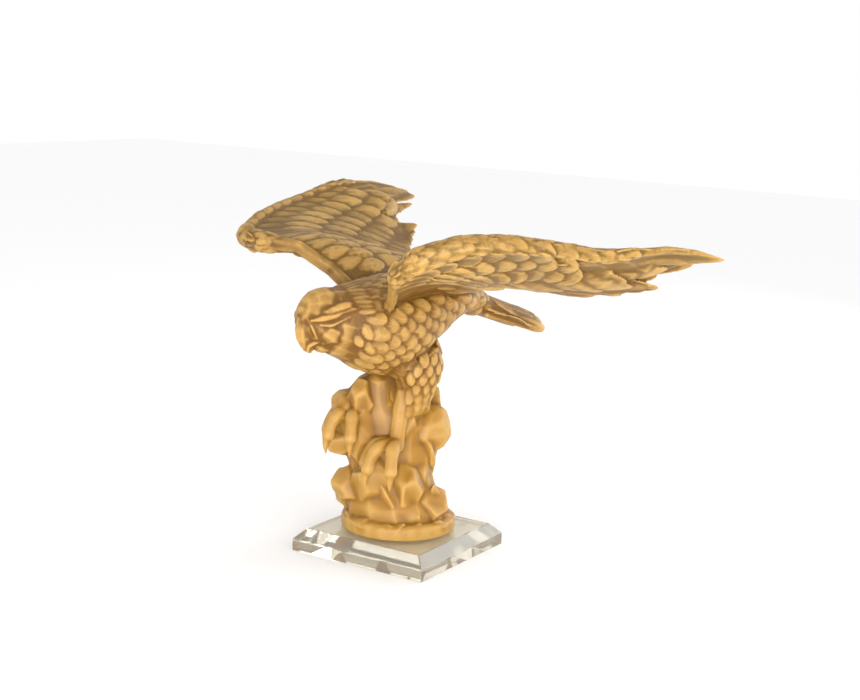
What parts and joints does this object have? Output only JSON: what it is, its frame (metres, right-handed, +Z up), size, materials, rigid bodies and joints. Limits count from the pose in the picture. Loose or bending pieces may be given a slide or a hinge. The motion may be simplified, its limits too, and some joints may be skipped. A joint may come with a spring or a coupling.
{
  "type": "eagle sculpture",
  "caption": "Frosted amber crystal eagle alighting on a rock with its wings swept up and back, on a square slab of clear crystal with a bevelled top edge",
  "frame": {"origin": "the middle of the slab's underside, on the surface that it stands on", "axes": "+Z up; X and Y along the slab's edges; the slab's front edge faces -Y, and the bird looks past its front left corner, 20 degrees from -Y towards -X"},
  "size_m": [0.3181, 0.2654, 0.2282],
  "materials": {
    "amber_crystal": "frosted, acid-etched amber crystal",
    "clear_crystal": "polished clear crystal"
  },
  "bodies": {
    "root": {"eagle_on_rock": "amber_crystal", "base_slab": "clear_crystal"}
  },
  "joints": []
}
